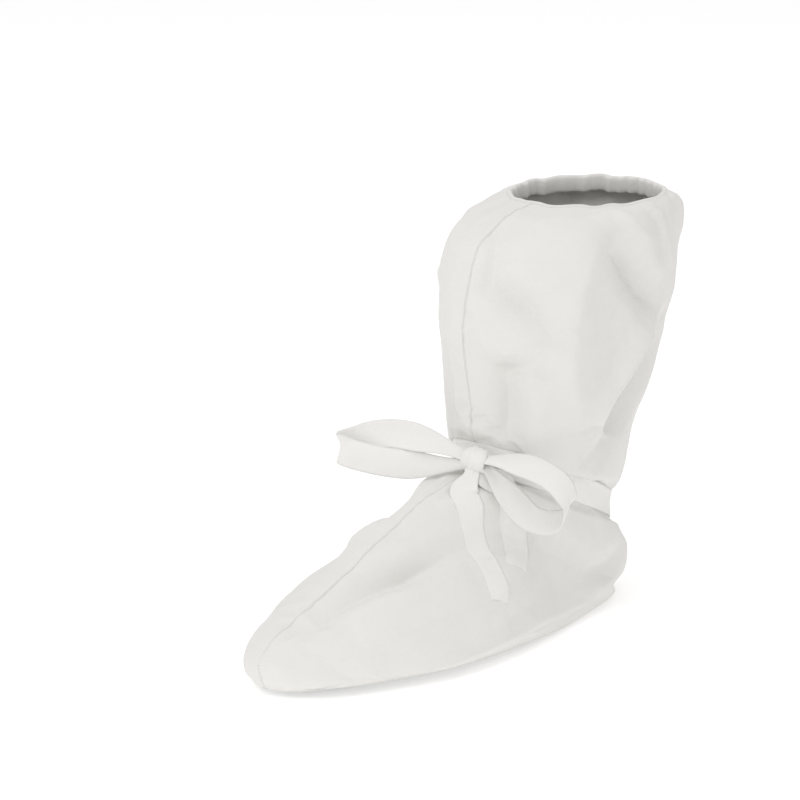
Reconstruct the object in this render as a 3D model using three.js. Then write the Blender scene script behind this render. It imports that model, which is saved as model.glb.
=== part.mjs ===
// A tall shoe cover of white nonwoven cloth, standing as it is worn on a left foot: two side panels that
// meet in seams at the front, back and toe, a sole, a gathered elastic hem, and an ankle tie with its bow.
// Millimetres, +Z up. The toe points to -Y and the outer side of the foot to +X.
// The origin lies on the underside of the sole, below the ankle.

import * as THREE from "three";

// Driving dimensions
const CLOTH = 2;
const SEAM_GAP = 0.3;
const SOLE_GAP = 1.2;
const HEM_HEIGHT = 10;
const HEM_RISE = 2;
const HEM_THICKNESS = 2.4;
const HEM_GATHERS = 26;
const HEM_RIPPLE = 0.8;
const RIBBON_WIDTH = 18;
const RIBBON_PINCH = 8;
const RIBBON_THICKNESS = 1.0;
const KNOT_HALF = { across: 10, out: 7, along: 9 };
const KNOT_ANGLE = 10;
const KNOT_DOWN = 0.65;

// Steps of the meshes
const PANEL_COLUMNS = 20;
const ROWS_PER_SECTION = 2;
const STEPS_PER_GATHER = 4;
const RIBBON_STEPS = 26;
const KNOT_STEPS = [16, 10];

// Sections of the cover from the hem to the toe. Each is a half outline in a plane across the boot: it
// starts at the front seam, swells to its half width, and ends at the back seam or, on the foot, at the
// sole's edge. front and back are [forward, height]; widest is where between them the half width lies;
// sole is the sole's half width there, and sway is how far the section lies towards the outer side.
const SECTIONS = [
  { at: "hem seam", front: [10, 262], back: [-105, 262], half: 50, widest: 0.5, sole: 0, sway: 0 },
  { at: "shoulder", front: [37, 258], back: [-114, 256], half: 57, widest: 0.5, sole: 0, sway: 0 },
  { at: "below the hem", front: [56, 245], back: [-117, 242], half: 60, widest: 0.5, sole: 0, sway: 0 },
  { at: "upper leg", front: [65, 220], back: [-116, 218], half: 61, widest: 0.5, sole: 0, sway: 0 },
  { at: "fullest", front: [69, 194], back: [-113, 191], half: 61, widest: 0.5, sole: 0, sway: 0 },
  { at: "lower leg", front: [67, 168], back: [-98, 153], half: 57, widest: 0.5, sole: 0, sway: 0 },
  { at: "narrowing", front: [64, 147], back: [-79, 118], half: 52, widest: 0.5, sole: 0, sway: 0 },
  { at: "pouch above the tie", front: [64, 130], back: [-69, 82], half: 50, widest: 0.5, sole: 0, sway: 0 },
  { at: "tie's upper edge", front: [58, 120], back: [-58, 72], half: 43, widest: 0.5, sole: 0, sway: 0 },
  { at: "tie's lower edge", front: [63, 104], back: [-58, 56], half: 42, widest: 0.5, sole: 0, sway: 0 },
  { at: "top of the heel", front: [75, 102], back: [-66, 42], half: 42, widest: 0.52, sole: 0, sway: 0 },
  { at: "back of the heel", front: [90, 100], back: [-76, 25], half: 42, widest: 0.54, sole: 0, sway: 0 },
  { at: "low on the heel", front: [100, 98], back: [-75, 9], half: 42, widest: 0.57, sole: 0, sway: 0 },
  { at: "heel seam's end", front: [108, 95], back: [-66, 0], half: 42, widest: 0.6, sole: 0, sway: 0 },
  { at: "round of the heel", front: [116, 92], back: [-55, 0], half: 43, widest: 0.64, sole: 18, sway: 0 },
  { at: "heel", front: [128, 87], back: [-24, 0], half: 45, widest: 0.68, sole: 31, sway: 0 },
  { at: "waist", front: [151, 76], back: [45, 0], half: 55, widest: 0.7, sole: 46, sway: 0 },
  { at: "ball", front: [179, 62], back: [128, 0], half: 56, widest: 0.72, sole: 50, sway: -2 },
  { at: "toes", front: [206, 49], back: [185, 0], half: 46, widest: 0.7, sole: 40, sway: -6 },
  { at: "toe round", front: [228, 37], back: [219, 0], half: 32, widest: 0.66, sole: 25, sway: -9 },
  { at: "toe end", front: [241, 27], back: [235, 0], half: 18, widest: 0.6, sole: 12, sway: -10 },
  { at: "toe seam", front: [246, 20], back: [240, 0], half: 0, widest: 0.5, sole: 0, sway: -10 },
];
const TIE_TOP = 8;
const TIE_BOTTOM = 9;
const SOLE_START = 13;
const LAST = SECTIONS.length - 1;

// Folds of the cloth. from and to are [section, angle]: 0 degrees is the front seam, 90 the widest line of
// the outer side, -90 that of the inner side. rise is out of the cloth, and reach is how far it spreads.
const FOLDS = [
  { what: "valley below the hem", from: [1.6, 17], to: [3.4, 54], rise: -6, reach: 13 },
  { what: "puff under it", from: [3.1, 10], to: [3.9, 55], rise: 4, reach: 14 },
  { what: "front hollow", from: [4.4, 33], to: [6.6, 33], rise: -5, reach: 12 },
  { what: "deep fold of the calf", from: [1.6, 83], to: [3.8, 122], rise: -8, reach: 13 },
  { what: "calf ridge", from: [4.1, 118], to: [6.6, 101], rise: 6, reach: 13 },
  { what: "hollow behind it", from: [4.3, 142], to: [6.2, 128], rise: -5, reach: 13 },
  { what: "inner hollow", from: [2.2, -55], to: [4.6, -95], rise: -6, reach: 14 },
  { what: "inner ridge", from: [4.2, -70], to: [6.5, -50], rise: 5, reach: 14 },
  { what: "inner back hollow", from: [3.4, -140], to: [6.2, -115], rise: -5, reach: 14 },
  { what: "outer vamp hollow", from: [13, 40], to: [18.4, 52], rise: -4, reach: 13 },
  { what: "drag line to the ankle", from: [11.6, 72], to: [17.6, 88], rise: 3.5, reach: 12 },
  { what: "inner vamp hollow", from: [12.4, -48], to: [17.5, -56], rise: -4, reach: 14 },
];
const FOLD_STEPS = 10;

// Where the cloth lies flat: sections either side of the hem and tie, sections before the toe's end, and the
// angles over which the folds die out towards the sole's edge
const FLAT_AT_SEAM = 0.7;
const FLAT_AT_TOE = 1.5;
const FLAT_AT_SOLE = [120, 150];

// The bow. Loops are routes in space, as [outwards, forward, up] from the middle of the knot, and roll is
// how far their ribbon leans over from level. Tails leave the knot and then lie on the foot, as
// [section, angle], lifted off the cloth.
const INNER_LOOP = {
  route: [[-9.9, 2, 3], [-27, 14, 10], [-47, 25, 13], [-66, 33, 11], [-79, 35, 3], [-81, 28, -7],
    [-71, 19, -14], [-53, 11, -13], [-33, 5, -8], [-9.9, 0, -3]],
  heading: [-0.93, 0.37],
  roll: 50,
};
const OUTER_LOOP = {
  route: [[10.1, 1, 3], [24, -1, 4], [42, -5, 2], [57, -9, -5], [64, -11, -17], [58, -8, -29],
    [44, -1, -29], [26, 2, -15], [10.1, 1, -3]],
  heading: [0.98, -0.2],
  roll: 40,
};
const SHORT_TAIL = {
  leave: [9.5, 3, -7.7],
  lie: [[10, 38], [12, 50], [14, 59], [15.3, 65]],
  lift: 6,
};
const LONG_TAIL = {
  leave: [2.6, 6.8, -4.9],
  lie: [[11.2, 20], [12.6, 31], [14.6, 44], [15.6, 59], [16.1, 71]],
  lift: 3.5,
};
const PINCH_REACH = 0.22;

const DEGREE = Math.PI / 180;
const clamp = THREE.MathUtils.clamp;
const smoothstep = THREE.MathUtils.smoothstep;

const cloth = (color) => new THREE.MeshStandardMaterial({ color, roughness: 0.85, metalness: 0 });

// A column of the section table as a smooth curve over the section number
function column(read) {
  const points = SECTIONS.map((section) => new THREE.Vector3(...read(section)));
  const curve = new THREE.CatmullRomCurve3(points, false, "catmullrom", 0.5);
  return (row) => curve.getPoint(clamp(row / LAST, 0, 1));
}

const frontAt = column((s) => [s.sway, ...s.front]);
const backAt = column((s) => [0, ...s.back]);
const widthAt = column((s) => [s.half, s.widest, s.sole]);

// Point of the smooth cover at a section number and an angle from the front seam
function smoothPoint(row, angle) {
  const front = frontAt(row);
  const back = backAt(row);
  const [half, widest, sole] = widthAt(row).toArray();
  const turn = Math.abs(angle) * DEGREE;
  const upper = Math.abs(angle) <= 90;
  const along = upper ? widest * (1 - Math.cos(turn)) : widest - (1 - widest) * Math.cos(turn);
  const out = upper ? half * Math.sin(turn) : sole + (half - sole) * Math.sin(turn);
  const forward = front.y + (back.y - front.y) * along;
  const height = front.z + (back.z - front.z) * along;
  return new THREE.Vector3(front.x + Math.sign(angle) * Math.max(out, 0), -forward, Math.max(height, 0));
}

// Direction out of the cloth there, kept in the seam's own plane on a seam
function outward(row, angle) {
  const step = 0.04;
  const turn = 2;
  const low = clamp(angle - turn, -180, 180);
  const high = clamp(angle + turn, -180, 180);
  const around = smoothPoint(row, high).sub(smoothPoint(row, low));
  const above = smoothPoint(Math.max(row - step, 0), angle);
  const below = smoothPoint(Math.min(row + step, LAST), angle);
  const normal = below.sub(above).cross(around);
  const onSeam = angle === 0 || row === LAST || (Math.abs(angle) === 180 && row <= SOLE_START);
  if (onSeam) normal.x = 0;
  return normal.normalize();
}

// The folds as lines on the smooth cover
const foldLines = FOLDS.map((fold) => {
  const points = [];
  for (let i = 0; i <= FOLD_STEPS; i += 1) {
    const share = i / FOLD_STEPS;
    const row = THREE.MathUtils.lerp(fold.from[0], fold.to[0], share);
    const angle = THREE.MathUtils.lerp(fold.from[1], fold.to[1], share);
    points.push(smoothPoint(row, angle));
  }
  return { ...fold, points };
});

// Share of the folds left at a place: none at the hem, under the tie, at the toe and on the sole's edge
function flatness(row, angle) {
  const fromHem = smoothstep(row, 0, FLAT_AT_SEAM);
  const aboveTie = 1 - smoothstep(row, TIE_TOP - FLAT_AT_SEAM, TIE_TOP);
  const belowTie = smoothstep(row, TIE_BOTTOM, TIE_BOTTOM + FLAT_AT_SEAM);
  const fromToe = 1 - smoothstep(row, LAST - FLAT_AT_TOE, LAST);
  const fromSole = row < SOLE_START - 1 ? 1 : 1 - smoothstep(Math.abs(angle), ...FLAT_AT_SOLE);
  return fromHem * Math.max(aboveTie, belowTie) * fromToe * fromSole;
}

// How far the folds near a point lift or sink the cloth
function foldRise(point) {
  let rise = 0;
  for (const fold of foldLines) {
    const near = Math.min(...fold.points.map((p) => p.distanceTo(point)));
    rise += fold.rise * Math.exp(-((near / fold.reach) ** 2));
  }
  return rise;
}

// Point of the folded cloth's outer face, or off it by lift
function clothPoint(row, angle, lift = 0) {
  const point = smoothPoint(row, angle);
  const normal = outward(row, angle);
  const rise = foldRise(point) * flatness(row, angle);
  return point.addScaledVector(normal, rise + lift);
}

// Closed solid between an outer and an inner grid of points; a wrapped grid closes on itself along its rows
function wall(outer, inner, wrapped = false) {
  const rows = outer.length;
  const columns = outer[0].length;
  const vertices = [...outer.flat(), ...inner.flat()];
  const at = (layer, i, j) => layer * rows * columns + (i % rows) * columns + j;
  const faces = [];
  const quad = (a, b, c, d) => faces.push(a, b, c, a, c, d);
  const lastRow = wrapped ? rows : rows - 1;
  for (let i = 0; i < lastRow; i += 1) {
    for (let j = 0; j < columns - 1; j += 1) {
      quad(at(0, i, j), at(0, i + 1, j), at(0, i + 1, j + 1), at(0, i, j + 1));
      quad(at(1, i, j), at(1, i, j + 1), at(1, i + 1, j + 1), at(1, i + 1, j));
    }
    quad(at(0, i, 0), at(1, i, 0), at(1, i + 1, 0), at(0, i + 1, 0));
    const end = columns - 1;
    quad(at(0, i, end), at(0, i + 1, end), at(1, i + 1, end), at(1, i, end));
  }
  for (let j = 0; j < columns - 1 && !wrapped; j += 1) {
    const end = rows - 1;
    quad(at(0, 0, j), at(0, 0, j + 1), at(1, 0, j + 1), at(1, 0, j));
    quad(at(0, end, j), at(1, end, j), at(1, end, j + 1), at(0, end, j + 1));
  }
  const geometry = new THREE.BufferGeometry();
  const coordinates = vertices.flatMap((v) => v.toArray());
  geometry.setAttribute("position", new THREE.Float32BufferAttribute(coordinates, 3));
  geometry.setIndex(faces);
  geometry.computeVertexNormals();
  return geometry;
}

// Keeps a point of one side clear of the seam that the two sides share
function ownSide(point, side, row) {
  const seam = frontAt(row).x;
  point.x = seam + side * (Math.max(side * (point.x - seam), 0) + SEAM_GAP / 2);
  return point;
}

// One side of the cover: side is 1 for the outer panel and -1 for the inner one
function panel(side) {
  const outer = [];
  const inner = [];
  const rows = LAST * ROWS_PER_SECTION;
  for (let i = 0; i <= rows; i += 1) {
    const row = i / ROWS_PER_SECTION;
    const angles = [];
    for (let j = 0; j <= PANEL_COLUMNS; j += 1) angles.push((180 * j) / PANEL_COLUMNS);
    if (side < 0) angles.reverse();
    outer.push(angles.map((angle) => ownSide(clothPoint(row, side * angle), side, row)));
    inner.push(angles.map((angle) => ownSide(clothPoint(row, side * angle, -CLOTH), side, row)));
  }
  return wall(outer, inner);
}

// Angle of a step round the leg: from the front seam over the outer side, the back and the inner side
const ringAngle = (share) => (share <= 0.5 ? 360 * share : 360 * share - 360);

// Gathered casing round the leg opening, turned in and hanging from the panels' upper edge
function hem() {
  const steps = HEM_GATHERS * STEPS_PER_GATHER;
  const outer = [];
  const inner = [];
  for (let i = 0; i < steps; i += 1) {
    const angle = ringAngle(i / steps);
    const edge = clothPoint(0, angle, -CLOTH);
    const out = outward(0, angle).setZ(0).normalize();
    const ripple = HEM_RIPPLE * (Math.cos(HEM_GATHERS * angle * DEGREE) - 1);
    const levels = [HEM_RISE - HEM_HEIGHT, HEM_RISE].map((level) => edge.clone().setZ(edge.z + level));
    const reach = ripple - SEAM_GAP;
    outer.push(levels.map((point) => point.clone().addScaledVector(out, reach)));
    inner.push(levels.map((point) => point.clone().addScaledVector(out, reach - HEM_THICKNESS)));
  }
  return wall(outer, inner, true);
}

// Ribbon wound round the ankle, flat on the cloth between the two sections that it covers
function ankleTie() {
  const outer = [];
  const inner = [];
  const steps = 2 * PANEL_COLUMNS;
  for (let i = 0; i < steps; i += 1) {
    const angle = ringAngle(i / steps);
    const edgeAt = (row, lift) => smoothPoint(row, angle).addScaledVector(outward(row, angle), lift);
    const lifted = (lift) => [edgeAt(TIE_BOTTOM, lift), edgeAt(TIE_TOP, lift)];
    outer.push(lifted(SEAM_GAP + RIBBON_THICKNESS));
    inner.push(lifted(SEAM_GAP));
  }
  return wall(outer, inner, true);
}

// Flat bottom inside the panels' lower edges
function sole() {
  const outerEdge = [];
  const innerEdge = [];
  for (let i = 0; i <= (LAST - SOLE_START) * ROWS_PER_SECTION; i += 1) {
    const row = SOLE_START + i / ROWS_PER_SECTION;
    outerEdge.push(clothPoint(row, 180, -CLOTH));
    innerEdge.unshift(clothPoint(row, -180, -CLOTH));
  }
  const outline = [...outerEdge, ...innerEdge.slice(1, -1)];
  const inset = outline.map((point, i) => {
    const before = outline[(i + outline.length - 1) % outline.length];
    const after = outline[(i + 1) % outline.length];
    const run = after.clone().sub(before).normalize();
    return new THREE.Vector2(point.x + run.y * SOLE_GAP, point.y - run.x * SOLE_GAP);
  });
  return new THREE.ExtrudeGeometry(new THREE.Shape(inset), { depth: CLOTH, bevelEnabled: false });
}

// The knot sits on the front of the tie, low on it and a little to the outer side
const tieFront = smoothPoint(TIE_TOP, KNOT_ANGLE).lerp(smoothPoint(TIE_BOTTOM, KNOT_ANGLE), KNOT_DOWN);
const knotOut = outward(TIE_TOP, KNOT_ANGLE).add(outward(TIE_BOTTOM, KNOT_ANGLE)).normalize();
const knotLift = 2 * SEAM_GAP + RIBBON_THICKNESS + KNOT_HALF.out;
const knotCentre = tieFront.addScaledVector(knotOut, knotLift);

// The knot as a rounded lump
function knot() {
  const ball = new THREE.SphereGeometry(1, ...KNOT_STEPS);
  ball.scale(KNOT_HALF.across, KNOT_HALF.out, KNOT_HALF.along);
  return ball;
}

// Ribbon along a curve; acrossAt gives its width's direction, and it is pinched at the shares in pinched
function ribbon(curve, acrossAt, pinched) {
  const outer = [];
  const inner = [];
  for (let i = 0; i <= RIBBON_STEPS; i += 1) {
    const share = i / RIBBON_STEPS;
    const along = curve.getTangent(share);
    const across = acrossAt(share).clone();
    across.addScaledVector(along, -across.dot(along)).normalize();
    const up = along.clone().cross(across);
    const pinchDistance = Math.min(...pinched.map((end) => Math.abs(share - end)));
    const spread = smoothstep(pinchDistance, 0, PINCH_REACH);
    const width = THREE.MathUtils.lerp(RIBBON_PINCH, RIBBON_WIDTH, spread);
    const middle = curve.getPoint(share);
    const edge = (side, level) => middle.clone()
      .addScaledVector(across, (side * width) / 2)
      .addScaledVector(up, (level * RIBBON_THICKNESS) / 2);
    outer.push([edge(-1, 1), edge(1, 1)]);
    inner.push([edge(-1, -1), edge(1, -1)]);
  }
  return wall(outer, inner);
}

// A place given from the middle of the knot
const fromKnot = ([out, forward, up]) => knotCentre.clone().add(new THREE.Vector3(out, -forward, up));

// A loop of the bow, from the knot out and back to it
function loop({ route, heading, roll }) {
  const curve = new THREE.CatmullRomCurve3(route.map(fromKnot));
  const level = new THREE.Vector3(-heading[1] * Math.sign(heading[0]), -Math.abs(heading[0]), 0).normalize();
  const across = level.multiplyScalar(Math.cos(roll * DEGREE)).setZ(-Math.sin(roll * DEGREE));
  return ribbon(curve, () => across, [0, 1]);
}

// A free end of the ribbon, from the knot down over the foot
function tail({ leave, lie, lift }) {
  const onFoot = lie.map(([row, angle]) => clothPoint(row, angle, lift));
  const curve = new THREE.CatmullRomCurve3([fromKnot(leave), ...onFoot]);
  const normals = [lie[0], ...lie].map(([row, angle]) => outward(row, angle));
  const normalAt = (share) => {
    const step = share * (normals.length - 1);
    const low = Math.min(Math.floor(step), normals.length - 2);
    return normals[low].clone().lerp(normals[low + 1], step - low);
  };
  return ribbon(curve, (share) => normalAt(share).cross(curve.getTangent(share)), [0]);
}

// A named mesh of its own
function piece(name, geometry, material) {
  const mesh = new THREE.Mesh(geometry, material);
  mesh.name = name;
  return mesh;
}

const bowKnot = piece("bow_knot", knot(), cloth(0xf0f0ec));
bowKnot.position.copy(knotCentre);
bowKnot.rotation.x = -Math.atan2(knotOut.z, -knotOut.y);

const cover = new THREE.Group();
cover.add(
  piece("outer_panel", panel(1), cloth(0xecece8)),
  piece("inner_panel", panel(-1), cloth(0xecece8)),
  piece("sole", sole(), cloth(0xe6e6e2)),
  piece("elastic_hem", hem(), cloth(0xecece8)),
  piece("ankle_tie", ankleTie(), cloth(0xf0f0ec)),
  bowKnot,
  piece("inner_loop", loop(INNER_LOOP), cloth(0xf0f0ec)),
  piece("outer_loop", loop(OUTER_LOOP), cloth(0xf0f0ec)),
  piece("short_tail", tail(SHORT_TAIL), cloth(0xf0f0ec)),
  piece("long_tail", tail(LONG_TAIL), cloth(0xf0f0ec)),
);

export default cover;
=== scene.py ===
import math
from collections import namedtuple

import bpy
import numpy as np
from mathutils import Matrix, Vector
from mathutils.bvhtree import BVHTree


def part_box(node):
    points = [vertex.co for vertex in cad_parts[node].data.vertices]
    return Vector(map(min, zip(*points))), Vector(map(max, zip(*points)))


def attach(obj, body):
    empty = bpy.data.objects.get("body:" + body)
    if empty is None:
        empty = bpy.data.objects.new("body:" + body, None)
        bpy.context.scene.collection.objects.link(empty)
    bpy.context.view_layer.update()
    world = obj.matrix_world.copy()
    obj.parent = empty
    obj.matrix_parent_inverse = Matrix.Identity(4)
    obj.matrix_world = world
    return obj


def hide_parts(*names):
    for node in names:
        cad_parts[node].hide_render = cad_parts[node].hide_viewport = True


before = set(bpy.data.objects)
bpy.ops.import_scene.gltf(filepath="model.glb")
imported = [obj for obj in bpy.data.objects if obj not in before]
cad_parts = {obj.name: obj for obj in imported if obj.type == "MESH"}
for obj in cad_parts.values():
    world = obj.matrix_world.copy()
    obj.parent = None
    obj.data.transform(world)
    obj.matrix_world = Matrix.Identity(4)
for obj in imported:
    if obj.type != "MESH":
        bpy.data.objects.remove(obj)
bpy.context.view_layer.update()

MM = 0.001
CLOTH_THICKNESS = 0.5
RIBBON_WIDTH = 18.0
RIBBON_THICKNESS = 0.45
RIBBON_LIFT = 0.8
RIBBON_COLUMNS = 13
LOOP_NECK = 6.5
LOOP_POINTS = 120
LOOP_CURL = 1.2
LOOP_RIPPLE = 0.5
TAIL_NECK = 9
TAIL_POINTS = 90
TAIL_CURL = -0.3
TAIL_RIPPLE = 0.4
TAIL_LIFT = 0.3
TAIL_THICKNESS = 0.3

# Sections of the cover from hem to toe in millimetres: half outlines from the front seam to the back or sole
Section = namedtuple("Section", "front_forward front_height back_forward back_height half widest sole sway")
SECTIONS = [
    Section(2, 262, -105, 262, 48, 0.5, 0, 0),
    Section(34, 257, -114, 255, 57, 0.5, 0, 0),
    Section(56, 245, -117, 242, 60, 0.5, 0, 0),
    Section(65, 220, -116, 218, 61, 0.5, 0, 0),
    Section(69, 194, -113, 191, 61, 0.5, 0, 0),
    Section(67, 168, -98, 153, 57, 0.5, 0, 0),
    Section(64, 147, -79, 118, 52, 0.5, 0, 0),
    Section(62, 129, -66, 77, 47, 0.5, 0, 0),
    Section(58, 120, -58, 65, 43, 0.5, 0, 0),
    Section(63, 104, -58, 49, 42, 0.5, 0, 0),
    Section(75, 102, -66, 37, 42, 0.52, 0, 0),
    Section(90, 100, -76, 25, 42, 0.54, 0, 0),
    Section(100, 98, -75, 9, 42, 0.57, 0, 0),
    Section(108, 95, -66, 0, 42, 0.6, 0, 0),
    Section(116, 92, -55, 0, 43, 0.64, 18, 0),
    Section(128, 87, -24, 0, 45, 0.68, 31, 0),
    Section(151, 76, 45, 0, 55, 0.7, 46, 0),
    Section(179, 62, 128, 0, 56, 0.72, 50, -2),
    Section(206, 49, 185, 0, 46, 0.7, 40, -6),
    Section(228, 37, 219, 0, 32, 0.66, 25, -9),
    Section(241, 27, 235, 0, 18, 0.6, 12, -10),
    Section(246, 20, 240, 0, 0, 0.5, 0, -10),
]
LAST = len(SECTIONS) - 1
TIE_TOP = 8
TIE_BOTTOM = 9
TIE_MIDDLE = (TIE_TOP + TIE_BOTTOM) / 2
SOLE_START = 13
SOLE_EDGE_ANGLES = (120, 165)
CURL_HEIGHT = 4.5
CURL_ROWS = (15, 18)
CURL_ANGLES = (80, 150)
PANEL_SPACING = 2.0
PANEL_COLUMNS = 96

# Waves and crumples all over the cloth, in millimetres
Relief = namedtuple("Relief", "height size")
WAVE = Relief(0.6, 70)
CRUMPLE = Relief(1.0, 60)
FINE_CRUMPLE = Relief(0.25, 24)

# Gathers beside the drawn-in edges: number round the cover, height in millimetres, spread in sections
Gather = namedtuple("Gather", "row count height spread")
HEM_GATHER = Gather(0.5, 13, 1.2, 0.9)
OVER_TIE_GATHER = Gather(TIE_TOP, 20, 1.4, 0.7)
UNDER_TIE_GATHER = Gather(TIE_BOTTOM, 18, 1.0, 1.6)

# Swell of the cloth under the tie, and its droop over the tie, in millimetres, sections and degrees
SWELL_HEIGHT = 4.0
SWELL_START = (TIE_BOTTOM, TIE_BOTTOM + 0.7)
SWELL_STOP = (-14, -11)
SWELL_ANGLES = (5, 40)
DROOP_ROW = 7.3
DROOP_SPREAD = 0.45
DROOP_FRONT = (30, 60)
DROOP_BACK = (-125, -85)
DROOP_OUT = 2
DROOP_DOWN = 6

# Seams: ripples beside them and the dip along them, in millimetres
PUCKER_HEIGHT = 0.3
PUCKER_LENGTH = 9
PUCKER_REACH = 5
SEAM_DIP = 0.06
SEAM_REACH = 2

# Folds: (section, angle) places, crest height, reach to the left and right from outside, softness, in mm
FOLD_STEPS = 8
FOLD_ENDS = (0.025, 0.975)
FOLD_END_POWER = 0.55
FOLD_SLOPE_POWER = 1.3
Fold = namedtuple("Fold", "what line rise left_reach right_reach soft")
FOLDS = [
    Fold("hollow beside the front seam", [(1.2, 4), (2.1, 11), (2.85, 12), (3.2, 10)], -4.5, 18, 8, 1.5),
    Fold("valley under the flat of the shin", [(2.8, 14), (3.15, 27), (3.5, 38), (3.8, 50)],
         -10.0, 18, 14, 1.5),
    Fold("pleat under that valley", [(3.8, 9), (4.15, 16), (4.3, 24), (4.15, 36), (3.95, 46)],
         8.5, 22, 12, 2.4),
    Fold("shade under the pleat", [(4.65, 20), (4.75, 28), (4.9, 36)], -3.5, 10, 12, 1.0),
    Fold("shin hollow", [(4.6, 26), (5.65, 28), (7.4, 29)], -8.0, 12, 16, 1.2),
    Fold("cross ridge of the shin", [(5.05, 30), (5.0, 38), (5.05, 47)], 3.0, 8, 12, 1.0),
    Fold("shin ridge", [(5.2, 42), (6.0, 46), (7.2, 48)], 3.5, 16, 18, 2.0),
    Fold("edge of the calf", [(1.35, 66), (2.1, 63), (2.8, 58), (3.45, 56), (3.95, 55), (4.75, 57),
                              (5.6, 64), (6.5, 72)], 13.0, 34, 40, 0.8),
    Fold("deep fold of the calf", [(2.1, 68), (2.45, 80), (2.95, 90), (3.5, 100), (3.95, 114)],
         -14.0, 19, 20, 1.2),
    Fold("flap above it", [(1.8, 76), (2.2, 88), (2.75, 99), (3.3, 112)], 3.0, 24, 14, 1.0),
    Fold("calf ridge", [(3.85, 109), (4.3, 103), (4.55, 97), (5.05, 90), (5.6, 85), (6.25, 83)],
         8.0, 13, 16, 0.8),
    Fold("hollow behind the calf ridge", [(4.2, 122), (4.9, 110), (5.7, 101), (6.4, 97)],
         -13.0, 24, 10, 1.5),
    Fold("gather by the hem", [(0.5, 62), (0.75, 69), (1.65, 86), (2.05, 97)], 3.5, 8, 9, 0.8),
    Fold("gather behind it", [(0.8, 96), (1.3, 101), (2.45, 113), (3.25, 124)], 3.5, 8, 10, 0.8),
    Fold("hollow between the gathers", [(0.7, 86), (1.4, 98), (2.2, 106)], -3.0, 6, 6, 0.8),
    Fold("back gather", [(0.6, 134), (1.8, 140), (3.0, 150)], 4.5, 10, 10, 1.0),
    Fold("back drape", [(2.0, 164), (3.6, 152), (5.4, 146)], -7.5, 14, 20, 1.5),
    Fold("back drape's ridge", [(2.6, 172), (4.2, 164), (6.2, 158)], 6.5, 14, 18, 1.2),
    Fold("inner hollow", [(1.8, -52), (2.9, -72), (4.2, -96)], -10.0, 18, 14, 1.2),
    Fold("inner ridge under it", [(2.9, -48), (3.7, -72), (4.9, -100)], 8.0, 18, 20, 1.2),
    Fold("inner shin hollow", [(3.6, -24), (5.2, -30), (7.0, -34)], -7.0, 14, 16, 1.5),
    Fold("inner calf ridge", [(4.0, -120), (5.2, -100), (6.5, -88)], 9.0, 18, 14, 1.0),
    Fold("inner back hollow", [(2.6, -142), (4.4, -128), (6.2, -112)], -8.0, 16, 18, 1.5),
    Fold("inner gather", [(0.8, -88), (2.1, -100)], 3.5, 9, 9, 0.8),
    Fold("inner back gather", [(0.6, -128), (2.2, -136)], 4.5, 10, 10, 0.8),
    Fold("vamp hollow", [(18.5, 17), (17.1, 21), (16.4, 32), (16.0, 39), (15.4, 50)], -9.0, 20, 11, 1.2),
    Fold("vamp ridge", [(18.0, 31), (17.2, 34), (16.75, 39), (15.9, 45), (15.2, 54)], 8.0, 10, 26, 0.8),
    Fold("edge of the outer side", [(18.65, 93), (18.3, 72), (17.7, 64), (17.35, 63), (16.65, 64),
                                    (16.2, 70), (15.9, 68), (15.25, 66), (13.95, 64), (12.5, 66)],
         9.0, 24, 42, 0.8),
    Fold("drag of the outer side", [(17.2, 96), (16.4, 88), (15.2, 84), (14.0, 84)], -1.5, 14, 22, 1.5),
    Fold("low drag of the outer side", [(17.6, 112), (16.4, 108), (15.2, 112)], 3.0, 12, 16, 1.0),
    Fold("heel drag", [(14.6, 112), (13.4, 118), (12.0, 128)], 3.5, 14, 16, 1.2),
    Fold("heel hollow", [(13.8, 92), (12.6, 104), (11.4, 118)], -3.5, 12, 14, 1.2),
    Fold("instep bump", [(15.0, -16), (15.6, -22), (16.2, -30)], 5.0, 16, 16, 1.5),
    Fold("inner vamp hollow", [(17.6, -30), (16.2, -40), (14.6, -52)], -6.0, 16, 14, 1.2),
    Fold("inner vamp ridge", [(17.4, -48), (15.8, -58), (13.6, -66)], 5.0, 14, 24, 1.2),
    Fold("inner ankle fold", [(9.8, -58), (10.8, -80), (12.0, -98)], -4.0, 10, 12, 1.0),
]

# The bow: routes are (outwards, forward, up) from the knot, and tails lie on (section, angle) places
INNER_LOOP = [(-3, 1, 1.5), (-10, 3, 3.5), (-27, 9, 9), (-47, 16, 12), (-64, 22, 10), (-76, 27, 5),
              (-82, 32, 2), (-77, 36, 0), (-63, 31, -3), (-46, 23, -5), (-28, 13, -5), (-10, 4, -3),
              (-3, 1, -1.5)]
OUTER_LOOP = [(3, 1, 1.5), (10, 1, 3), (24, -1, 4), (42, -5, 2), (57, -9, -5), (64, -11, -17),
              (58, -8, -29), (44, -1, -29), (26, 2, -15), (10, 1, -3), (3, 1, -1.5)]
SHORT_TAIL = [(10, 38), (12, 50), (14, 59), (15.3, 65)]
SHORT_LEAVE = [(3, 2, -3), (9, 4, -8)]
LONG_LEAVE = [(0, 4, -3), (3, 8, -6)]
LONG_TAIL = [(11.2, 20), (12.6, 31), (14.6, 44), (15.6, 59), (16.1, 71)]

seed = np.random.default_rng(7)


def smoothstep(value, low, high):
    share = np.clip((value - low) / (high - low), 0, 1)
    return share * share * (3 - 2 * share)


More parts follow.
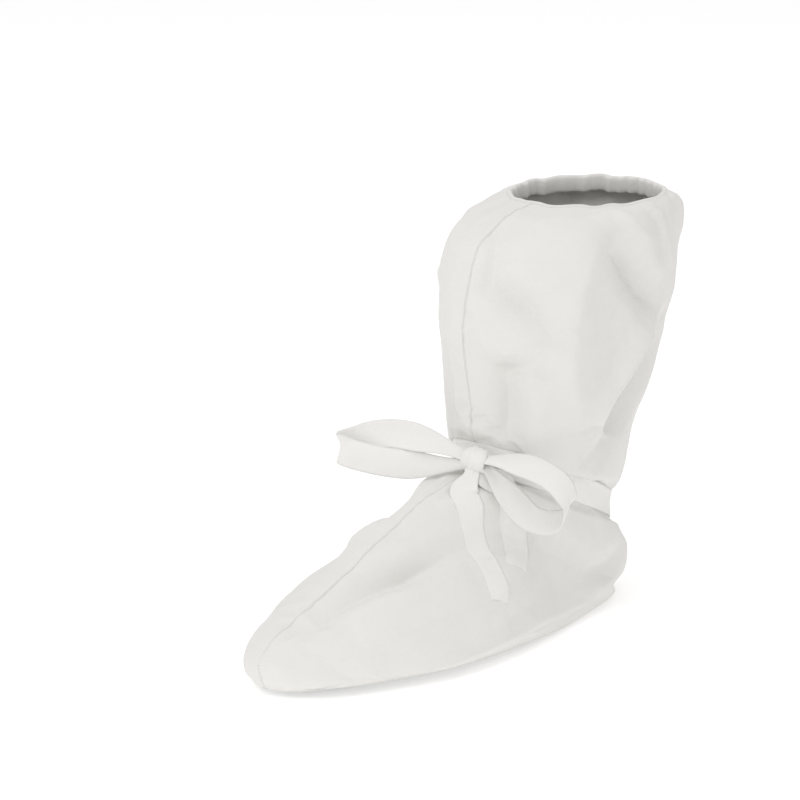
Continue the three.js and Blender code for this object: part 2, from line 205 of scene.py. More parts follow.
# Smooth curve through the rows of a table, read at section numbers
def along_sections(table, row):
    row = np.clip(row, 0, len(table) - 1)
    first = np.minimum(np.floor(row).astype(int), len(table) - 2)
    share = (row - first)[..., None]
    ends = np.vstack([2 * table[0] - table[1], table, 2 * table[-1] - table[-2]])
    before, start, end, after = (ends[first + k] for k in range(4))
    leave = (end - before) / 2
    arrive = (after - start) / 2
    square = -3 * start + 3 * end - 2 * leave - arrive
    cube = 2 * start - 2 * end + leave + arrive
    return start + leave * share + square * share ** 2 + cube * share ** 3


SECTION_TABLE = np.array(SECTIONS, float)


# Columns of the sections' table by name
def section_columns(*names):
    return SECTION_TABLE[:, [Section._fields.index(name) for name in names]]


FRONT_TABLE = section_columns("sway", "front_forward", "front_height")
BACK_TABLE = section_columns("back_forward", "back_height")
WIDTH_TABLE = section_columns("half", "widest", "sole")


# Smooth cover in millimetres at section numbers and angles from the front seam, outer side positive
def smooth_cover(row, angle):
    row, angle = np.broadcast_arrays(np.asarray(row, float), np.asarray(angle, float))
    sway, front_forward, front_height = np.moveaxis(along_sections(FRONT_TABLE, row), -1, 0)
    back_forward, back_height = np.moveaxis(along_sections(BACK_TABLE, row), -1, 0)
    half, widest, sole = np.moveaxis(along_sections(WIDTH_TABLE, row), -1, 0)
    turn = np.radians(np.abs(angle))
    upper = np.abs(angle) <= 90
    along = np.where(upper, widest * (1 - np.cos(turn)), widest - (1 - widest) * np.cos(turn))
    out = np.where(upper, half * np.sin(turn), sole + (half - sole) * np.sin(turn))
    forward = front_forward + (back_forward - front_forward) * along
    height = front_height + (back_height - front_height) * along
    return np.stack([sway + np.sign(angle) * np.maximum(out, 0), -forward, np.maximum(height, 0)], -1)


def unit(vectors):
    return vectors / np.maximum(np.linalg.norm(vectors, axis=-1, keepdims=True), 1e-9)


# Outward directions of a grid of cloth points, rows down the cover and columns round it
def grid_normals(grid):
    return unit(np.cross(np.gradient(grid, axis=0), np.gradient(grid, axis=1)))


# Row numbers that lie evenly along the cloth
def even_rows(spacing):
    fine = np.linspace(0, LAST, 100 * LAST + 1)
    lines = smooth_cover(fine[:, None], np.array([-150, -90, 0, 90, 150])[None])
    steps = np.linalg.norm(np.diff(lines, axis=0), axis=-1).max(1)
    length = np.concatenate([[0], np.cumsum(steps)])
    return np.interp(np.linspace(0, length[-1], 2 * round(length[-1] / spacing / 2) + 1), length, fine)


# Gentle random waves over space, with waves about size millimetres long
def waves(points, size, count=14):
    total = 0
    for _ in range(count):
        direction = unit(seed.normal(size=3))
        length = size * seed.uniform(0.7, 1.5)
        total = total + np.sin(points @ direction * (2 * math.pi / length) + seed.uniform(0, 2 * math.pi))
    return total / math.sqrt(count)


# Crumpled facets: straight creases in random directions that come and go over the cloth
def crumple(points, size, count=7):
    total = 0
    for _ in range(count):
        direction = unit(seed.normal(size=3))
        place = points @ direction / (size * seed.uniform(0.7, 1.6)) + seed.uniform(0, 1)
        place = place + 0.18 * waves(points, 2.5 * size, 5)
        crease = np.abs(2 * (place % 1) - 1) * 2 - 1
        total = total + crease * (0.5 + 0.5 * waves(points, 3 * size, 5))
    return total / math.sqrt(count)


# Nearest distance of points to a line of points, the side that they lie on, and their share of its length
def from_line(points, normals, line):
    start, end = line[:-1], line[1:]
    best = np.full(points.shape[:-1], 1e9)
    side = np.zeros(points.shape[:-1])
    place = np.zeros(points.shape[:-1])
    for i, (a, b) in enumerate(zip(start, end)):
        run = b - a
        share = np.clip((points - a) @ run / (run @ run), 0, 1)
        offset = points - (a + share[..., None] * run)
        distance = np.linalg.norm(offset, axis=-1)
        nearer = distance < best
        turn = np.sum(np.cross(normals, run) * offset, -1)
        best = np.where(nearer, distance, best)
        side = np.where(nearer, turn, side)
        place = np.where(nearer, (i + share) / len(start), place)
    return best, side, place


# How far one fold lifts or sinks each point of the cloth
def fold_rise(points, normals, fold):
    spans = len(fold.line) - 1
    steps = np.linspace(0, spans, FOLD_STEPS * spans + 1)
    places = along_sections(np.array(fold.line, float), steps)
    line = smooth_cover(places[:, 0], places[:, 1])
    distance, side, place = from_line(points, normals, line)
    reach = np.where(side > 0, fold.left_reach, fold.right_reach)
    share = (np.sqrt(distance ** 2 + fold.soft ** 2) - fold.soft) / reach
    ends = np.sin(np.pi * np.clip(place, *FOLD_ENDS)) ** FOLD_END_POWER
    return fold.rise * ends * np.maximum(1 - share, 0) ** FOLD_SLOPE_POWER


# Irregular gathers round a drawn-in edge
def gathers(angle, count, rng):
    turn = np.radians(angle)
    total = 0
    for _ in range(6):
        number = round(count * rng.uniform(0.6, 1.5))
        total = total + rng.uniform(0.5, 1) * np.cos(number * turn + rng.uniform(0, 2 * math.pi))
    total = total / 2.2
    return np.sign(total) * np.abs(total) ** 0.8


# Gathers that fade away from a drawn-in edge
def edge_gathers(row, angle, edge):
    return gathers(angle, edge.count, seed) * edge.height * np.exp(-np.abs(row - edge.row) / edge.spread)


# How firmly the sole's edge holds the cloth
def near_sole(row, angle):
    on_foot = smoothstep(row, SOLE_START - 1.5, SOLE_START + 0.5)
    return on_foot * smoothstep(np.abs(angle), *SOLE_EDGE_ANGLES)


# Share of the folds that is left near the hem, the tie, the sole's edge and the toe
def slackness(row, angle):
    from_hem = smoothstep(row, 0, 0.8)
    above_tie = 1 - smoothstep(row, TIE_TOP - 0.8, TIE_TOP)
    below_tie = smoothstep(row, TIE_BOTTOM, TIE_BOTTOM + 0.8)
    from_toe = 1 - smoothstep(row, LAST - 1.5, LAST - 0.2)
    from_sole = 1 - near_sole(row, angle)
    return from_hem * np.maximum(above_tie, below_tie) * from_toe * from_sole


# The seams draw the cloth in along a fine line, with small puckers beside it
def seam_pucker(row, angle, base):
    beside = np.abs(base[..., 0] - along_sections(FRONT_TABLE, row)[..., 0])
    on_seam = (np.abs(angle) < 90) | (row < SOLE_START)
    run = base[..., 1] - base[..., 2]
    phase = run * (2 * math.pi / PUCKER_LENGTH) + 1.5 * waves(base, 30, 5)
    ripple = np.sin(phase) * (0.6 + 0.4 * waves(base, 50, 5))
    pucker = PUCKER_HEIGHT * ripple * np.exp(-(beside / PUCKER_REACH) ** 2)
    return on_seam * (pucker - SEAM_DIP * np.exp(-(beside / SEAM_REACH) ** 2))


# How far the edge of the sole curls up off the floor towards the toe
def toe_curl(row):
    return CURL_HEIGHT * smoothstep(row, *CURL_ROWS)


# The whole cover's cloth as a grid, folded
def cover_grid(row_spacing, columns):
    rows = even_rows(row_spacing)
    angles = np.linspace(-180, 180, 2 * columns + 1)
    row, angle = np.meshgrid(rows, angles, indexing="ij")
    aside = np.abs(angle)
    base = smooth_cover(row, angle)
    normals = grid_normals(base)
    slack = slackness(row, angle)
    rise = np.zeros(row.shape)
    for fold in FOLDS:
        rise += fold_rise(base, normals, fold)
    wavy = WAVE.height * waves(base, WAVE.size)
    crumpled = CRUMPLE.height * crumple(base, CRUMPLE.size)
    fine_crumpled = FINE_CRUMPLE.height * crumple(base, FINE_CRUMPLE.size)
    rise += wavy + crumpled + fine_crumpled
    swell = SWELL_HEIGHT * smoothstep(row, *SWELL_START) * smoothstep(-row, *SWELL_STOP)
    rise += swell * smoothstep(aside, *SWELL_ANGLES)
    hem_wave = edge_gathers(row, angle, HEM_GATHER)
    over_tie = edge_gathers(row, angle, OVER_TIE_GATHER) * (row <= TIE_TOP)
    under_tie = edge_gathers(row, angle, UNDER_TIE_GATHER) * (row >= TIE_BOTTOM)
    tie_edge = np.maximum(smoothstep(TIE_TOP - row, 0, 0.35), smoothstep(row - TIE_BOTTOM, 0, 0.35))
    gather = hem_wave + over_tie * tie_edge + under_tie * tie_edge
    gather *= 1 - near_sole(row, angle)
    cloth = base + normals * (rise * slack + gather + seam_pucker(row, angle, base))[..., None]
    droop = np.exp(-((row - DROOP_ROW) / DROOP_SPREAD) ** 2)
    droop = droop * smoothstep(aside, *DROOP_FRONT) * smoothstep(-aside, *DROOP_BACK)
    outwards = normals * np.array([DROOP_OUT, DROOP_OUT, 0])
    cloth += droop[..., None] * (outwards - np.array([0, 0, DROOP_DOWN]))
    cloth[..., 2] = np.maximum(cloth[..., 2], 0) + toe_curl(row) * smoothstep(aside, *CURL_ANGLES)
    return row, angle, cloth


# Mesh object from a grid of points in millimetres, with thickness under it and a UV map along the cloth
def grid_object(name, grid, thickness=0, wrapped=False):
    rows, columns = grid.shape[:2]
    index = np.arange(rows * columns).reshape(rows, columns)
    lower = np.roll(index, -1, axis=0) if wrapped else index[1:]
    upper = index if wrapped else index[:-1]
    skin = np.stack([upper[:, :-1], lower[:, :-1], lower[:, 1:], upper[:, 1:]], -1).reshape(-1, 4)
    points = grid.reshape(-1, 3)
    faces = skin
    if thickness:
        under = index.size
        loose = np.concatenate([grid[-1:], grid, grid[:1]]) if wrapped else grid
        normals = grid_normals(loose)[1:-1] if wrapped else grid_normals(loose)
        points = np.concatenate([points, (grid - normals * thickness).reshape(-1, 3)])
        rims = [(lower[:, 0], upper[:, 0]), (upper[:, -1], lower[:, -1])]
        if not wrapped:
            rims += [(index[0, :-1], index[0, 1:]), (index[-1, 1:], index[-1, :-1])]
        sides = [np.stack([a, b, b + under, a + under], -1) for a, b in rims]
        faces = np.concatenate([skin, skin[:, ::-1] + under, *sides])
    mesh = bpy.data.meshes.new(name)
    mesh.from_pydata((points * MM).tolist(), [], faces.tolist())
    down = np.linalg.norm(np.diff(grid, axis=0), axis=-1)
    around = np.linalg.norm(np.diff(grid, axis=1, append=grid[:, -1:]), axis=-1)
    v = np.concatenate([[0], np.cumsum(down.mean(1))])[:, None]
    u = np.cumsum(around, axis=1)
    u = u - u[:, columns // 2][:, None]
    uv = np.stack(np.broadcast_arrays(u, v), -1).reshape(-1, 2) * MM
    corners = np.zeros(len(mesh.loops), np.int32)
    mesh.loops.foreach_get("vertex_index", corners)
    layer = mesh.uv_layers.new(name="cloth")
    layer.data.foreach_set("uv", uv[corners % len(uv)].astype(np.float32).ravel())
    mesh.polygons.foreach_set("use_smooth", np.arange(len(faces)) < 2 * len(skin))
    piece = bpy.data.objects.new(name, mesh)
    bpy.context.scene.collection.objects.link(piece)
    return piece


# Puts a piece in place of its CAD node
def on_root(piece, node, material):
    piece.data.materials.append(material)
    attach(piece, "root")
    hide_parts(node)


# A shader socket that takes part in Python sums
class Wire:
    def __init__(self, paint, socket):
        self.paint = paint
        self.socket = socket

    def sum_with(self, operation, other, swapped=False):
        pair = [other, self] if swapped else [self, other]
        return self.paint.node("ShaderNodeMath", {"operation": operation}, {0: pair[0], 1: pair[1]})["Value"]

    def __add__(self, other):
        return self.sum_with("ADD", other)

    def __radd__(self, other):
        return self.sum_with("ADD", other, True)

    def __sub__(self, other):
        return self.sum_with("SUBTRACT", other)

    def __rsub__(self, other):
        return self.sum_with("SUBTRACT", other, True)

    def __mul__(self, other):
        return self.sum_with("MULTIPLY", other)

    def __rmul__(self, other):
        return self.sum_with("MULTIPLY", other, True)

    def sine(self):
        return self.paint.node("ShaderNodeMath", {"operation": "SINE"}, {0: self})["Value"]


# A node whose outputs are read by name or number
class Made:
    def __init__(self, paint, node):
        self.paint = paint
        self.made = node

    def __getitem__(self, name):
        return Wire(self.paint, self.made.outputs[name])


# One material's nodes
class Paint:
    def __init__(self, name):
        self.material = bpy.data.materials.new(name)
        self.material.use_nodes = True
        self.tree = self.material.node_tree
        self.shader = self.tree.nodes["Principled BSDF"]

    def node(self, kind, settings=None, sockets=None):
        node = self.tree.nodes.new(kind)
        for key, value in (settings or {}).items():
            setattr(node, key, value)
        self.join(node, sockets or {})
        return Made(self, node)

    def join(self, node, sockets):
        for key, value in sockets.items():
            if isinstance(value, Wire):
                self.tree.links.new(value.socket, node.inputs[key])
            else:
                node.inputs[key].default_value = value

    def finish(self, sockets):
        self.join(self.shader, sockets)
        return self.material


# Place of the colour among a Mix node's outputs
MIXED_COLOUR = 2

# Clouds, fibres and small creases of the cloth: noise, and what it does to tone, height and roughness
Noise = namedtuple("Noise", "scale detail roughness")
CLOUD = Noise(90.0, 4.0, 0.6)
FIBRE = Noise(1700.0, 3.0, 0.65)
CREASE = Noise(150.0, 3.0, 0.55)
CLOUD_TONE = 0.9
FIBRE_TONE = 0.5
DOT_TONE = 0.04
FIBRE_DEPTH = 0.00004
CREASE_DEPTH = 0.0004
ROUGHNESS = 0.82
CLOUD_ROUGHNESS = 0.16


# Non-woven cloth: pressed bond points in a close diagonal pattern, clouds of fibre, and fine random fibres
def nonwoven(name, color, shade, pitch, press, sheen):
    paint = Paint(name)
    uv = paint.node("ShaderNodeUVMap", {"uv_map": "cloth"})["UV"]
    space = paint.node("ShaderNodeTexCoord")["Object"]
    parts = paint.node("ShaderNodeSeparateXYZ", None, {0: uv})
    across, along = parts["X"], parts["Y"]
    turn = 2 * math.pi / pitch
    dots = ((across + along) * turn).sine() * ((across - along) * turn).sine()

    def noise(kind):
        sockets = {"Vector": space, "Scale": kind.scale, "Detail": kind.detail, "Roughness": kind.roughness}
        return paint.node("ShaderNodeTexNoise", {"noise_dimensions": "3D"}, sockets)["Fac"]

    cloud = noise(CLOUD)
    fibre = noise(FIBRE)
    crease = noise(CREASE)
    tone = (cloud - 0.5) * CLOUD_TONE + (fibre - 0.5) * FIBRE_TONE + dots * DOT_TONE + 0.5
    base = paint.node("ShaderNodeMix", {"data_type": "RGBA", "clamp_factor": True},
                      {"Factor": tone, "A": (*shade, 1.0), "B": (*color, 1.0)})
    height = dots * press + (fibre - 0.5) * FIBRE_DEPTH + (crease - 0.5) * CREASE_DEPTH
    bump = paint.node("ShaderNodeBump", None, {"Strength": 1.0, "Distance": 1.0, "Height": height})["Normal"]
    rough = (cloud - 0.5) * CLOUD_ROUGHNESS + ROUGHNESS
    return paint.finish({
        "Base Color": base[MIXED_COLOUR],
        "Roughness": rough,
        "Normal": bump,
        "Sheen Weight": sheen,
        "Sheen Roughness": 0.5,
        "Specular IOR Level": 0.25,
    })


cloth_finish = nonwoven("cover_cloth", (0.795, 0.784, 0.757), (0.755, 0.743, 0.713), 0.0024, 0.00002, 0.12)
sole_finish = nonwoven("sole_cloth", (0.75, 0.75, 0.735), (0.70, 0.70, 0.68), 0.0034, 0.00007, 0.08)
# The ribbon is the cover's cloth painted lighter: painted light that brightens the loops and ends lying in
# the bow's shade
ribbon_finish = nonwoven("ribbon_cloth", (0.85, 0.84, 0.816), (0.81, 0.80, 0.774), 0.0022, 0.000018, 0.14)


# Twice as many points along one direction of a grid, on smooth curves through the old ones
def finer(grid, axis):
    grid = np.moveaxis(grid, axis, 0)
    padded = np.concatenate([2 * grid[:1] - grid[1:2], grid, 2 * grid[-1:] - grid[-2:-1]])
    between = (9 * (padded[1:-2] + padded[2:-1]) - padded[:-3] - padded[3:]) / 16
    out = np.empty((2 * len(grid) - 1, *grid.shape[1:]))
    out[::2] = grid
    out[1::2] = between
    return np.moveaxis(out, 0, axis)


# Settling of the cloth, on a sample of ten times life size
SAMPLE_SCALE = 0.01
SETTLE_FRAMES = 40
HOLD = 0.17
FOOT_HOLD = 0.05
FRONT_HOLD = 0.5
FRONT_HOLD_ROW = 7.6
DRAPE_SETTINGS = {
    "quality": 6,
    "mass": 0.2,
    "air_damping": 4,
    "tension_stiffness": 40,
    "compression_stiffness": 40,
    "shear_stiffness": 20,
    "bending_stiffness": 1.5,
    "vertex_group_mass": "held",
    "pin_stiffness": 1,
    "vertex_group_shrink": "slack",
    "shrink_min": 0,
    "shrink_max": -0.022,
}


# How firmly each place is held: softly in the folds, firmly at hem, tie, toe, sole's edge and back seam
def hold_weight(row, angle):
    aside = np.abs(angle)
    at_hem = np.exp(-row / 0.3)
    at_tie = np.exp(-np.maximum(np.abs(row - TIE_MIDDLE) - 0.5, 0) / 0.15)
    firm = at_hem + at_tie + (row > LAST - 0.8)
    firm += (row > SOLE_START - 0.5) * smoothstep(aside, *SOLE_EDGE_ANGLES) + (aside > 178)
    firm += FRONT_HOLD * np.exp(-((row - FRONT_HOLD_ROW) / 0.5) ** 2) * smoothstep(-aside, -60, -30)
    return np.clip(HOLD + FOOT_HOLD * smoothstep(row, 11, 14) + firm, 0, 1)


# Lets the cloth buckle: every second point of it, grown a little too large between the places that hold it
def settle(row, angle, cloth):
    coarse = cloth[::2, ::2]
    row, angle = row[::2, ::2], angle[::2, ::2]
    sample = grid_object("slack_cloth", coarse * SAMPLE_SCALE / MM)
    slack = 1 - 0.75 * smoothstep(row, 9.5, 13)
    for name, values in (("held", hold_weight(row, angle)), ("slack", slack)):
        group = sample.vertex_groups.new(name=name)
        for i, value in enumerate(values.ravel()):
            group.add([i], float(value), "REPLACE")
    drape = sample.modifiers.new("drape", "CLOTH")
    for key, value in DRAPE_SETTINGS.items():
        setattr(drape.settings, key, value)
    drape.settings.effector_weights.gravity = 0.3
    drape.collision_settings.use_collision = False
    drape.point_cache.frame_start = 1
    drape.point_cache.frame_end = SETTLE_FRAMES
    for number in range(1, SETTLE_FRAMES + 1):
        bpy.context.scene.frame_set(number)
    settled = sample.evaluated_get(bpy.context.evaluated_depsgraph_get()).to_mesh()
    points = np.zeros(3 * coarse[..., 0].size)
    settled.vertices.foreach_get("co", points)
    bpy.context.scene.frame_set(1)
    bpy.data.objects.remove(sample)
    shift = points.reshape(coarse.shape) / SAMPLE_SCALE - coarse
    return cloth + finer(finer(shift, 0), 1)


# The two side panels
row_grid, angle_grid, cloth = cover_grid(PANEL_SPACING, PANEL_COLUMNS)
cloth = settle(row_grid, angle_grid, cloth)
middle = cloth.shape[1] // 2
outer_panel = grid_object("outer_panel_cloth", cloth[:, middle:], CLOTH_THICKNESS)
inner_panel = grid_object("inner_panel_cloth", cloth[:, :middle + 1], CLOTH_THICKNESS)
on_root(outer_panel, "outer_panel", cloth_finish)
on_root(inner_panel, "inner_panel", cloth_finish)
cloth_normals = grid_normals(cloth)

# What the ribbons lie on
flat_points = [Vector(p) for p in cloth.reshape(-1, 3)]
numbers = np.arange(cloth.shape[0] * cloth.shape[1]).reshape(cloth.shape[:2])
quads = np.stack([numbers[:-1, :-1], numbers[1:, :-1], numbers[1:, 1:], numbers[:-1, 1:]], -1)
cloth_tree = BVHTree.FromPolygons(flat_points, quads.reshape(-1, 4).tolist())


# Pushes points of a ribbon out until they lie lift off the cloth, and draws them down on it by cling
def off_cloth(points, lift, cling=0):
    flat = points.reshape(-1, 3)
    share = np.broadcast_to(cling, points.shape[:2]).ravel()
    out = flat.copy()
    for i, point in enumerate(flat):
        near, normal, _, _ = cloth_tree.find_nearest(Vector(point))
        height = (Vector(point) - near).dot(normal)
        wanted = max(height, lift) * (1 - share[i]) + lift * share[i]
        out[i] = np.array(Vector(point) + normal * (wanted - height))
    return out.reshape(points.shape)


# Points evenly spaced along a smooth line
def even_line(points, count):
    table = np.array(points, float)
    fine = along_sections(table, np.linspace(0, len(table) - 1, 40 * len(table)))
    length = np.concatenate([[0], np.cumsum(np.linalg.norm(np.diff(fine, axis=0), axis=1))])
    even = np.linspace(0, length[-1], count)
    return np.stack([np.interp(even, length, fine[:, k]) for k in range(3)], -1), length[-1]


# Ribbon along a line: across gives its width's direction, and curl bows it over its width
def ribbon_grid(line, across, width, curl, ripple):
    tangent = unit(np.gradient(line, axis=0))
    across = unit(across - np.sum(across * tangent, -1, keepdims=True) * tangent)
    up = np.cross(tangent, across)
    share = np.linspace(-1, 1, RIBBON_COLUMNS)
    run = np.linspace(0, 1, len(line))[:, None]
    spread = share[None, :, None] * (width[:, None, None] / 2) * across[:, None]
    on_ribbon = np.stack(np.broadcast_arrays(run * 60, share[None, :] * 8, 0 * run), -1)
    uneven = waves(on_ribbon, 22, 8) + crumple(on_ribbon, 14)
    bow = curl * (share[None, :] ** 2 - 0.4) + ripple * uneven
    return line[:, None] + spread + bow[..., None] * up[:, None]


# Sole: flat, a little uneven, its edge curled up towards the toe
SOLE_HEIGHT = 0.6
SOLE_WAVE = Relief(0.25, 26)
SOLE_TIP_ROWS = (18.5, 20.5)


def sole_grid():
    rows = np.linspace(SOLE_START, LAST, 140)
    edge = smooth_cover(rows, 180)
    other = smooth_cover(rows, -180)
    share = np.linspace(0, 1, 25)[None, :, None]
    grid = other[:, None] * (1 - share) + edge[:, None] * share
    uneven = SOLE_WAVE.height * waves(grid, SOLE_WAVE.size) * np.sin(np.pi * share[..., 0]) ** 0.5
    grid[..., 2] = SOLE_HEIGHT + uneven
    at_tip = smoothstep(rows, *SOLE_TIP_ROWS)[:, None]
    grid[..., 2] += toe_curl(rows)[:, None] * np.maximum(np.abs(2 * share[..., 0] - 1) ** 4, at_tip)
    return grid


sole = grid_object("sole_cloth_piece", sole_grid(), CLOTH_THICKNESS)
on_root(sole, "sole", sole_finish)


# Hem: a flattened tube of cloth round the mouth, drawn in by its elastic, outlined as (outwards, up)
MOUTH_MIDDLE = np.array([0, 51.5, 0])
HEM_OUTLINE = np.array([(0.25, -1.8), (0.35, -0.4), (-0.5, 1.0), (-2.2, 0.8), (-3.4, -1.0), (-3.8, -5.0),
                        (-3.4, -8.6), (-2.2, -9.6), (-1.1, -8.4), (-0.9, -5.0), (-0.7, -2.0), (-0.1, -1.9),
                        (0.25, -1.8)])
HEM_POINTS = 420
HEM_OUTLINE_POINTS = 37
HEM_COUNT = 30
HEM_WAVE_IN = 0.7
HEM_WAVE_UP = 0.3


def hem_grid():
    angles = np.linspace(-180, 180, HEM_POINTS, endpoint=False)
    edge = np.stack([np.interp(angles, angle_grid[0], cloth[0, :, k]) for k in range(3)], -1)
    out = edge - MOUTH_MIDDLE
    out[:, 2] = 0
    out = unit(out)
    wave = gathers(angles, HEM_COUNT, np.random.default_rng(11))
    outline = along_sections(HEM_OUTLINE, np.linspace(0, len(HEM_OUTLINE) - 1, HEM_OUTLINE_POINTS))
    inside = smoothstep(-outline[:, 0], 0.8, 3.0)
    depth = outline[None, :, 0] + HEM_WAVE_IN * wave[:, None] * inside[None, :]
    grid = edge[:, None] + out[:, None] * depth[..., None]
    grid[..., 2] += outline[None, :, 1] + HEM_WAVE_UP * wave[:, None] * inside[None, :]
    return grid


hem = grid_object("elastic_hem_casing", hem_grid(), wrapped=True)
on_root(hem, "elastic_hem", cloth_finish)

# Ribbon round the ankle
TIE_LIFT = 0.7
TIE_FINE_WAVE = Relief(0.25, 14)
TIE_WAVE = Relief(0.35, 40)
TIE_CRUMPLE = Relief(0.3, 22)
tie_angles = np.linspace(-180, 180, 361)[:-1]
tie_rows = np.linspace(TIE_BOTTOM + 0.02, TIE_TOP - 0.02, RIBBON_COLUMNS)
tie_base = smooth_cover(tie_rows[None, :], tie_angles[:, None])
tie_out = unit(tie_base - tie_base.mean(axis=(0, 1)))
tie_wave = waves(tie_base, TIE_FINE_WAVE.size) * TIE_FINE_WAVE.height
tie_wave = tie_wave + waves(tie_base, TIE_WAVE.size) * TIE_WAVE.height
tie_wave = tie_wave + TIE_CRUMPLE.height * crumple(tie_base, TIE_CRUMPLE.size)
tie_points = off_cloth(tie_base + tie_out * (1.0 + tie_wave)[..., None], TIE_LIFT)
ankle_tie = grid_object("ankle_tie_ribbon", tie_points, RIBBON_THICKNESS, wrapped=True)
on_root(ankle_tie, "ankle_tie", ribbon_finish)

# Middle of the knot
knot_low, knot_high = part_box("bow_knot")
knot_middle = np.array((knot_low + knot_high) / 2) / MM


# Places given as (outwards, forward, up) from the knot
def from_knot(route):
    return [knot_middle + np.array([out, -forward, up]) for out, forward, up in route]


# Loop of the bow: heading points away from the knot, and roll tips the ribbon's width from level
def bow_loop(name, node, route, heading, roll):
    line, length = even_line(from_knot(route), LOOP_POINTS)
    sign = math.copysign(1, heading[0])
    level = unit(np.array([-heading[1] * sign, -abs(heading[0]), 0]))
    lean = math.radians(roll)
    across = level * math.cos(lean) + np.array([0, 0, -math.sin(lean)])
    share = np.linspace(0, 1, len(line))
    from_ends = np.minimum(share, 1 - share)
    width = LOOP_NECK + (RIBBON_WIDTH - LOOP_NECK) * smoothstep(from_ends, 0.02, 0.24)
    grid = ribbon_grid(line, np.repeat(across[None], len(line), 0), width, LOOP_CURL, LOOP_RIPPLE)
    piece = grid_object(name, off_cloth(grid, RIBBON_LIFT), RIBBON_THICKNESS)
    on_root(piece, node, ribbon_finish)
    return piece, length


inner_loop, inner_length = bow_loop("inner_loop_ribbon", "inner_loop", INNER_LOOP, (-0.93, 0.37), 70)
outer_loop, outer_length = bow_loop("outer_loop_ribbon", "outer_loop", OUTER_LOOP, (0.98, -0.2), 40)


# Place on the folded cloth at a section number and an angle
def on_cloth(row, angle):
    i = np.abs(row_grid[:, 0] - row).argmin()
    j = np.abs(angle_grid[0] - angle).argmin()
    return cloth[i, j], cloth_normals[i, j]


# Free end of the ribbon: leaves the knot by some places and then lies on the cloth
def bow_tail(name, node, leave, lie):
    places = [on_cloth(row, angle) for row, angle in lie]
    start = from_knot(leave)
    line, length = even_line(start + [p + n * (TAIL_LIFT + RIBBON_LIFT) for p, n in places], TAIL_POINTS)
    normals = np.array([places[0][1]] * len(start) + [n for _, n in places])
    steps = np.linspace(0, len(normals) - 1, len(line))
    normal = np.stack([np.interp(steps, np.arange(len(normals)), normals[:, k]) for k in range(3)], -1)
    across = np.cross(normal, np.gradient(line, axis=0))
    share = np.linspace(0, 1, len(line))
    width = TAIL_NECK + (RIBBON_WIDTH - TAIL_NECK) * smoothstep(share, 0.02, 0.22)
    cling = smoothstep(share, 0.2, 0.4)
    grid = ribbon_grid(line, across, width, TAIL_CURL, TAIL_RIPPLE)
    piece = grid_object(name, off_cloth(grid, TAIL_LIFT, cling[:, None]), TAIL_THICKNESS)
    on_root(piece, node, ribbon_finish)
    return piece, length


short_tail, short_length = bow_tail("short_tail_ribbon", "short_tail", SHORT_LEAVE, SHORT_TAIL)
long_tail, long_length = bow_tail("long_tail_ribbon", "long_tail", LONG_LEAVE, LONG_TAIL)


# Knot: a short turn of ribbon wrapped over the crossing, pinched into pleats, with its half sizes
KNOT_OUT = 6.6
KNOT_UP = 8.4
KNOT_ACROSS = 9.2


def knot_grid():
    turn = np.linspace(0, 2 * math.pi, 97)[:-1]
    share = np.linspace(-1, 1, 25)
    t, s = np.meshgrid(turn, share, indexing="ij")
    barrel = 1 - 0.42 * np.abs(s) ** 2.6
    pleat = 0.05 * np.cos(s * 8.5 + 0.6 * np.sin(t)) + 0.04 * np.cos(s * 15 + t)
    out = KNOT_OUT * np.cos(t) * (barrel + pleat)
    up = KNOT_UP * np.sin(t) * (barrel + pleat)
    across = KNOT_ACROSS * s + 0.7 * np.sin(2 * t)
    grid = np.stack([across, -out, up], -1)
    return grid + knot_middle


knot = grid_object("bow_knot_turn", knot_grid(), RIBBON_THICKNESS, wrapped=True)
on_root(knot, "bow_knot", ribbon_finish)

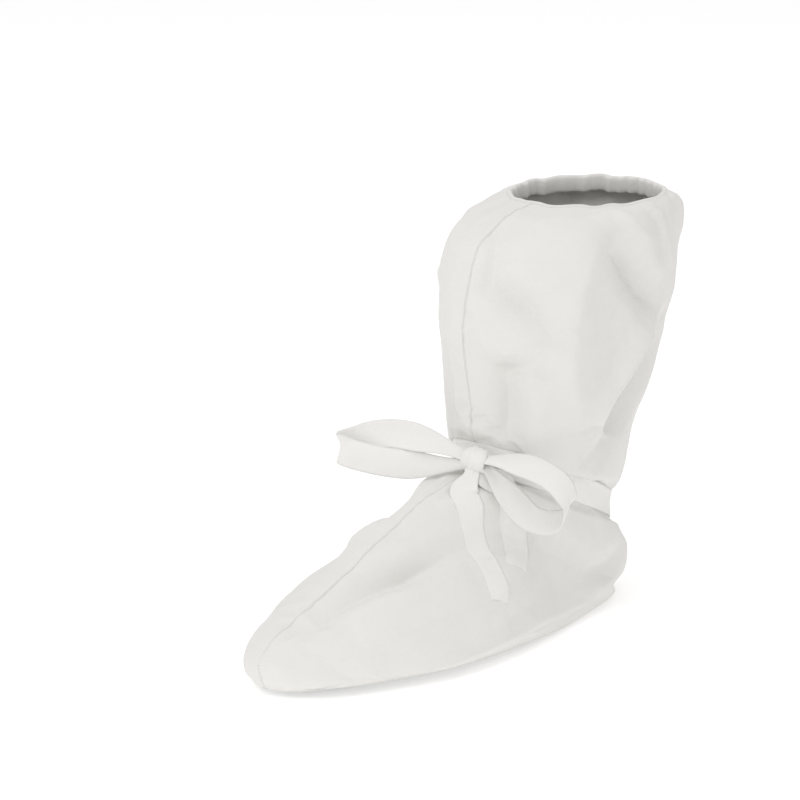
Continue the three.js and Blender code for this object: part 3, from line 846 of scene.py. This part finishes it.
# Camera at the picture's angle
CAMERA_AZIMUTH = math.radians(40.82)
CAMERA_HEIGHT = math.radians(14.53)
CAMERA_DISTANCE = 2.3
CAMERA_TARGET = Vector((-0.0638, -0.0551, 0.1359))
PIXELS_PER_METRE = 1588.3
PICTURE_WIDTH = 800
back = Vector((math.sin(CAMERA_AZIMUTH) * math.cos(CAMERA_HEIGHT),
               -math.cos(CAMERA_AZIMUTH) * math.cos(CAMERA_HEIGHT), math.sin(CAMERA_HEIGHT)))
lens = bpy.data.cameras.new("camera")
lens.sensor_width = 36
lens.lens = PIXELS_PER_METRE * CAMERA_DISTANCE / PICTURE_WIDTH * lens.sensor_width
camera = bpy.data.objects.new("camera", lens)
bpy.context.scene.collection.objects.link(camera)
camera.location = CAMERA_TARGET + back * CAMERA_DISTANCE
camera.rotation_euler = back.to_track_quat("Z", "Y").to_euler()
bpy.context.scene.camera = camera

# Floor
FLOOR_REACH = 30
FLOOR_DROP = 0.0005
FLOOR_CORNERS = [(x * FLOOR_REACH, y * FLOOR_REACH, 0) for x, y in ((-1, -1), (1, -1), (1, 1), (-1, 1))]
floor_mesh = bpy.data.meshes.new("floor")
floor_mesh.from_pydata(FLOOR_CORNERS, [], [(0, 1, 2, 3)])
floor = bpy.data.objects.new("floor", floor_mesh)
bpy.context.scene.collection.objects.link(floor)
floor.location.z = -FLOOR_DROP
floor_paint = Paint("floor_paint")
floor_mesh.materials.append(floor_paint.finish({
    "Base Color": (0.95, 0.95, 0.95, 1),
    "Roughness": 0.9,
    "Emission Color": (1, 1, 1, 1),
    "Emission Strength": 0.27,
}))

# Soft lights: metres aside, towards the camera and up from the cover, size in metres, power in watts
Lamp = namedtuple("Lamp", "name aside near high size power")
LAMPS = [Lamp("key", -1.1, 1.9, 1.8, 0.8, 14), Lamp("overhead", 0, 0, 3, 3, 23)]
LIT_PLACE = Vector((0, -0.06, 0.12))
SKY_STRENGTH = 0.66
right = Vector((math.cos(CAMERA_AZIMUTH), math.sin(CAMERA_AZIMUTH), 0))
toward = Vector((back.x, back.y, 0)).normalized()
for lamp in LAMPS:
    glow = bpy.data.lights.new(lamp.name, "AREA")
    glow.shape = "DISK"
    glow.size = lamp.size
    glow.energy = lamp.power
    light = bpy.data.objects.new(lamp.name, glow)
    bpy.context.scene.collection.objects.link(light)
    light.location = LIT_PLACE + right * lamp.aside + toward * lamp.near + Vector((0, 0, lamp.high))
    light.rotation_euler = (light.location - LIT_PLACE).to_track_quat("Z", "Y").to_euler()

# Sky
world = bpy.data.worlds.new("sky")
bpy.context.scene.world = world
world.use_nodes = True
world.node_tree.nodes["Background"].inputs["Color"].default_value = (1, 1, 1, 1)
world.node_tree.nodes["Background"].inputs["Strength"].default_value = SKY_STRENGTH
bpy.context.scene.view_settings.view_transform = "Standard"
